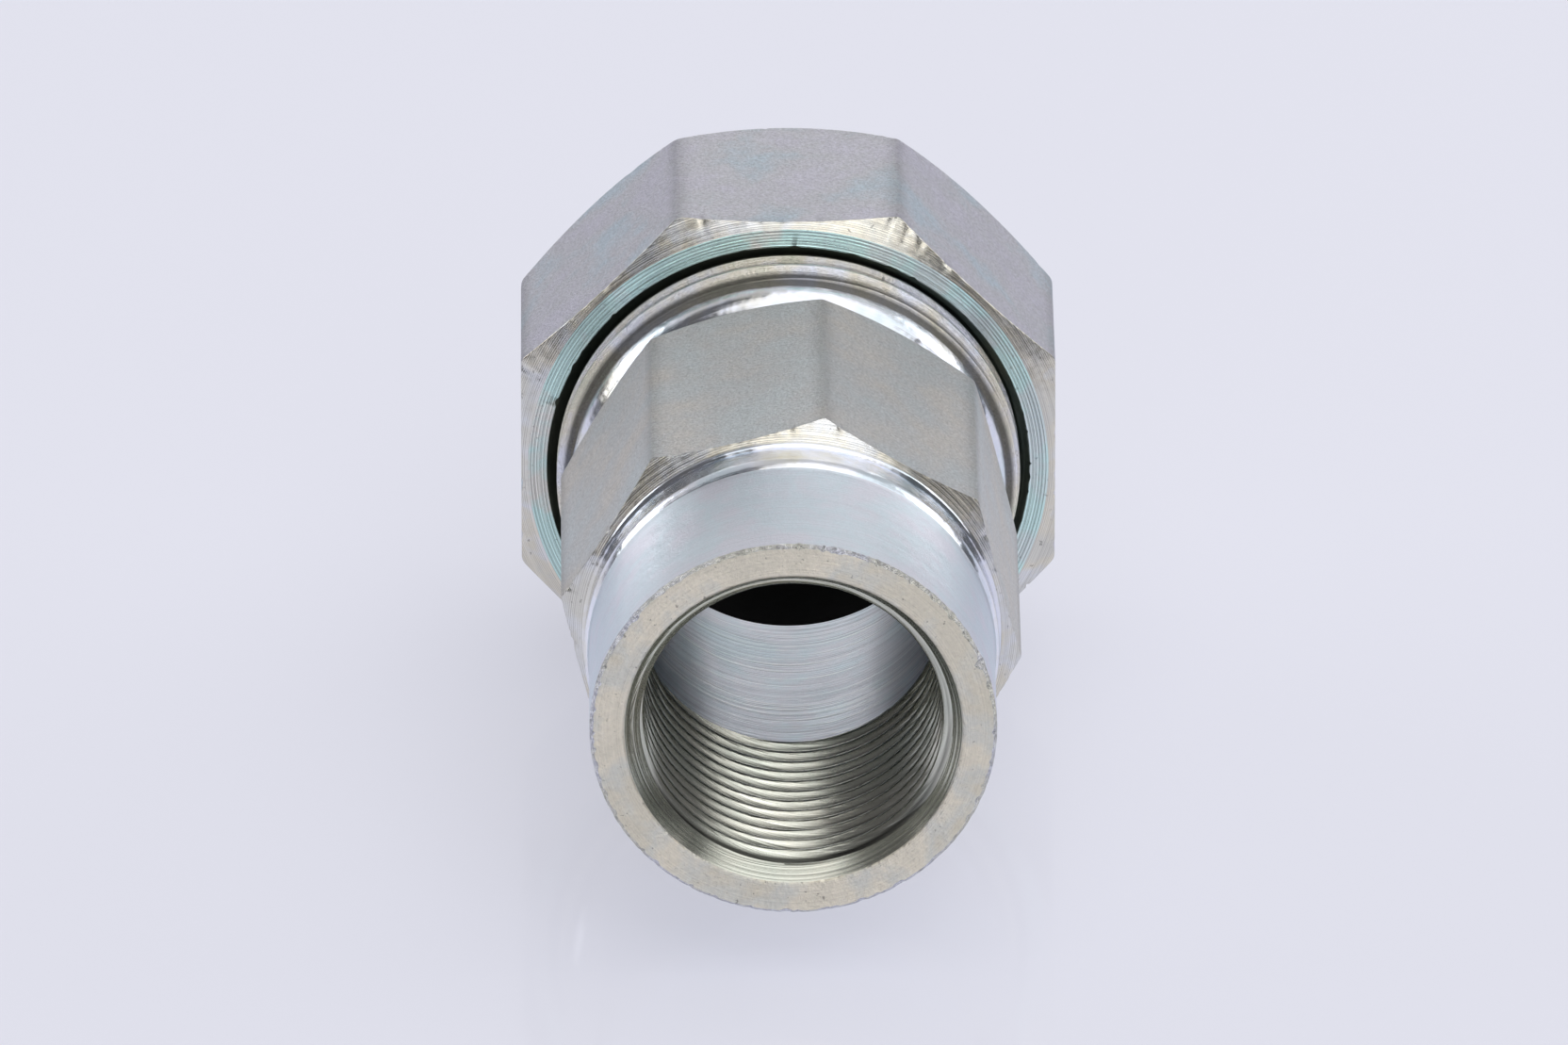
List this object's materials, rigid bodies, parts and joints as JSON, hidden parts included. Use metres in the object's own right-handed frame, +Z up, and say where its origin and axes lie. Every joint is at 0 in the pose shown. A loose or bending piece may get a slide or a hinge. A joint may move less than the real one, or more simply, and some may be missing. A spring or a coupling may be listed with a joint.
{
  "type": "threaded pipe union",
  "caption": "Zinc-plated steel pipe union: long octagonal female end, octagonal union nut, rubber gasket and short female tail piece.",
  "frame": {"origin": "centre of the whole union's box, on the common axis of its two sockets", "axes": "+Y along the waterway, from the long threaded end (at -Y) towards the tail piece (at +Y); +Z up through a flat of the union nut"},
  "size_m": [0.055, 0.1, 0.055],
  "materials": {
    "body_steel": "zinc-plated, milled octagon flats matt grey, turned bands bright",
    "nut_steel": "zinc-plated, matt grey flats, concentric turning lines on the chamfered faces",
    "tail_steel": "zinc-plated, turned",
    "gasket_rubber": "black moulded rubber, slightly shiny"
  },
  "bodies": {
    "body": {"threaded_end": "body_steel"},
    "seal": {"gasket": "gasket_rubber"},
    "nut": {"union_nut": "nut_steel"},
    "tail": {"tail_piece": "tail_steel"}
  },
  "joints": [
    {"name": "union_slide", "type": "slide", "parent": "body", "child": "seal", "axis": [0, 1, 0], "range_m": [0, 0.00929]},
    {"name": "nut_turn", "type": "hinge", "parent": "seal", "child": "nut", "pos_m": [0, 0.02545, 0], "axis": [0, 1, 0], "range_deg": [0, 1440]},
    {"name": "tail_swivel", "type": "hinge", "parent": "seal", "child": "tail", "pos_m": [0, 0.04, 0], "axis": [0, 1, 0], "continuous": true}
  ],
  "couplings": [
    {"joint": "union_slide", "follows": "nut_turn", "m_per_rad": 0.0003675}
  ]
}
